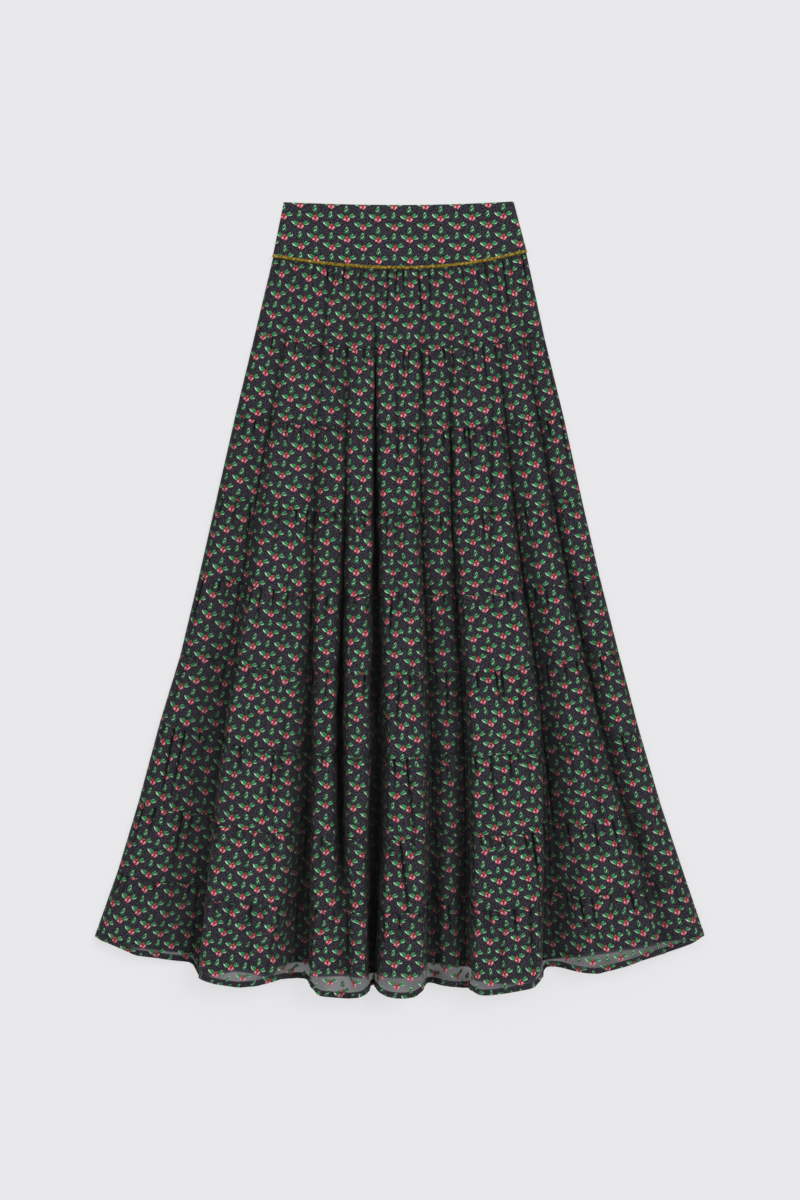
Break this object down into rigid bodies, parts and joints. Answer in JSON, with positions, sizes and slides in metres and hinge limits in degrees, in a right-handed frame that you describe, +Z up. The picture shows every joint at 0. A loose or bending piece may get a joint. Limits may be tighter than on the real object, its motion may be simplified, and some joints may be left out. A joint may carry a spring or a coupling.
{
  "type": "tiered gathered skirt",
  "caption": "Long A-line skirt of gathered printed tiers below a shaped hip yoke edged with braided piping, laid flat.",
  "frame": {"origin": "centre of the footprint, on the surface that the skirt lies on", "axes": "+Z up from the surface, +Y along the skirt towards the waist, +X to the right as the front is seen"},
  "size_m": [0.792, 1.0326, 0.0359],
  "materials": {
    "printed_cloth": "thin crinkled cotton voile, near black with a small printed sprig in green and rose",
    "piping_cord": "twisted olive-gold piping cord with a low metallic sheen"
  },
  "bodies": {
    "root": {"yoke_front": "printed_cloth", "yoke_back": "printed_cloth", "piping_front": "piping_cord", "piping_back": "piping_cord", "tier_1_front": "printed_cloth", "tier_1_back": "printed_cloth", "tier_2_front": "printed_cloth", "tier_2_back": "printed_cloth", "tier_3_front": "printed_cloth", "tier_3_back": "printed_cloth", "tier_4_front": "printed_cloth", "tier_4_back": "printed_cloth", "tier_5_front": "printed_cloth", "tier_5_back": "printed_cloth", "tier_6_front": "printed_cloth", "tier_6_back": "printed_cloth", "tier_7_front": "printed_cloth", "tier_7_back": "printed_cloth", "tier_8_front": "printed_cloth", "tier_8_back": "printed_cloth", "tier_9_front": "printed_cloth", "tier_9_back": "printed_cloth"}
  },
  "joints": []
}
